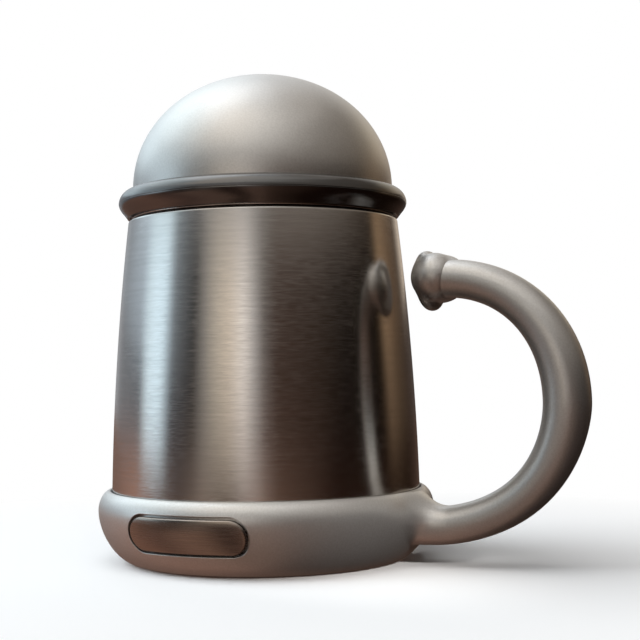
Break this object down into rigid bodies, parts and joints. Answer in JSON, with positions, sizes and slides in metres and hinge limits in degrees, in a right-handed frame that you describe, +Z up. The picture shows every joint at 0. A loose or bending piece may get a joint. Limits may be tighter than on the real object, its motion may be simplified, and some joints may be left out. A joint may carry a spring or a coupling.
{
  "type": "insulated mug",
  "caption": "Double-walled steel mug in a moulded base with a C-shaped open-topped handle, under a domed push-in lid with a dark ring.",
  "frame": {"origin": "centre of the underside of the foot pad, on the surface that the mug stands on", "axes": "+Z up, along the body's axis and the way the lid lifts off; +X from the body's axis to the handle; -Y to the badge"},
  "size_m": [0.1536, 0.1029, 0.15],
  "materials": {
    "brushed_steel": "finely brushed round its circumference",
    "bright_steel": "bright drawn steel",
    "plate_steel": "plain pressed steel",
    "solder": "dull solder",
    "sinter": "grey sintered metal",
    "satin_silver": "moulded plastic in satin silver paint",
    "knob_silver": "moulded plastic in satin silver paint",
    "dome_silver": "moulded plastic in satin silver paint",
    "black_rubber": "matt black",
    "grey_plastic": "fine matt grain",
    "screw_steel": "plain machined steel",
    "silicone": "matt dark silicone",
    "badge_black": "satin black",
    "adhesive_foam": "matt black foam tape",
    "dark_bead": "satin dark brown elastomer",
    "dark_plastic": "matt dark plastic",
    "seal_silicone": "matt translucent silicone"
  },
  "bodies": {
    "mug": {"outer_shell": "brushed_steel", "inner_liner": "bright_steel", "shell_bottom": "plate_steel", "vacuum_seal": "solder", "getter": "sinter", "mount_ring": "plate_steel", "base_shell": "satin_silver", "handle_tip": "knob_silver", "base_gasket": "black_rubber", "base_plate": "grey_plastic", "base_screw_1": "screw_steel", "base_screw_2": "screw_steel", "base_screw_3": "screw_steel", "base_screw_4": "screw_steel", "foot_pad": "silicone", "badge": "badge_black", "badge_tape": "adhesive_foam"},
    "lid": {"lid_dome": "dome_silver", "lid_ring": "dark_bead", "lid_liner": "dark_plastic", "lid_seal": "seal_silicone"}
  },
  "joints": [
    {"name": "lid_lift", "type": "slide", "parent": "mug", "child": "lid", "axis": [0, 0, 1], "range_m": [0, 0.06]}
  ]
}
